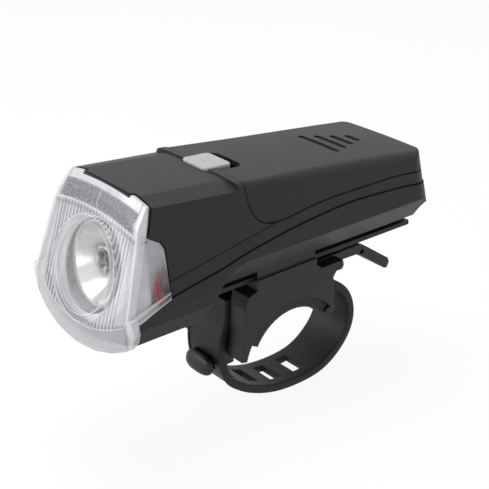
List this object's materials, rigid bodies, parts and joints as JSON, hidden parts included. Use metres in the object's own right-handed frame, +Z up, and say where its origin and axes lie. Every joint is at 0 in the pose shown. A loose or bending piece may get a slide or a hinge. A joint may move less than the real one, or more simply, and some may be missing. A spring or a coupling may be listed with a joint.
{
  "type": "bicycle headlight",
  "caption": "Battery bicycle headlight with a clear front cap, a top push button and a slide-off battery cover, on a quick-release bracket with a rubber handlebar strap.",
  "frame": {"origin": "on the handlebar's axis, in the lamp's middle plane", "axes": "+X along the handlebar, towards the lamp's left side seen from the rider; -Y the way the light points; +Z up"},
  "size_m": [0.0524, 0.1248, 0.0885],
  "materials": {
    "lens_clear": "clear moulded polycarbonate, polished, with fine flutes inside",
    "gasket_rubber": "matte",
    "reflector_mirror": "metallised plastic, mirror bright",
    "led_phosphor": "yellow phosphor under a clear dome",
    "board_metal": "white-coated metal-core board",
    "sink_metal": "plain cast",
    "wire_red": "satin sleeve",
    "wire_black": "satin sleeve",
    "housing_black": "fine spark texture, matte",
    "button_silicone": "light grey silicone, matte",
    "board_green": "solder mask",
    "switch_body": "matte",
    "tray_plastic": "smooth matte",
    "cell_wrap": "plain shrink sleeve",
    "spring_steel": "nickel-plated wire",
    "contact_metal": "nickel-plated sheet",
    "screw_steel": "blackened",
    "bracket_black": "smooth satin",
    "pad_rubber": "matte",
    "strap_rubber": "smooth, slightly satin",
    "pin_steel": "plain"
  },
  "bodies": {
    "bracket": {"bracket_base": "bracket_black", "saddle_pad": "pad_rubber", "strap": "strap_rubber", "strap_pin": "pin_steel", "lever_pin": "pin_steel"},
    "release_lever": {"release_lever": "bracket_black"},
    "lamp": {"front_lens": "lens_clear", "lens_gasket": "gasket_rubber", "reflector": "reflector_mirror", "led_emitter": "led_phosphor", "led_board": "board_metal", "heat_sink": "sink_metal", "lead_wire_red": "wire_red", "lead_wire_black": "wire_black", "upper_housing": "housing_black", "lower_housing": "housing_black", "circuit_board": "board_green", "tactile_switch": "switch_body", "battery_tray": "tray_plastic", "battery_cell_1": "cell_wrap", "battery_cell_2": "cell_wrap", "battery_cell_3": "cell_wrap", "contact_spring_1": "spring_steel", "contact_spring_2": "spring_steel", "contact_spring_3": "spring_steel", "contact_plate_plus": "contact_metal", "contact_plate_front": "contact_metal", "contact_plate_rear": "contact_metal", "contact_plate_minus": "contact_metal", "housing_screw_1": "screw_steel", "housing_screw_2": "screw_steel", "housing_screw_3": "screw_steel", "housing_screw_4": "screw_steel"},
    "push_button": {"push_button": "button_silicone"},
    "battery_cover": {"battery_cover": "housing_black"}
  },
  "joints": [
    {"name": "release_lever_hinge", "type": "hinge", "parent": "bracket", "child": "release_lever", "pos_m": [0, 0.0141, 0.0255], "axis": [1, 0, 0], "range_deg": [-7, 0], "stiffness_Nm_per_rad": 0.4, "springref_deg": 5.73},
    {"name": "lamp_slide", "type": "slide", "parent": "bracket", "child": "lamp", "axis": [0, -1, 0], "range_m": [0, 0.068]},
    {"name": "button_press", "type": "slide", "parent": "lamp", "child": "push_button", "axis": [0, 0, -1], "range_m": [0, 0.0008], "stiffness_N_per_m": 1500, "springref_m": -0.0003},
    {"name": "battery_cover_slide", "type": "slide", "parent": "lamp", "child": "battery_cover", "axis": [0, 0.9848, 0.1736], "range_m": [0, 0.08]}
  ]
}
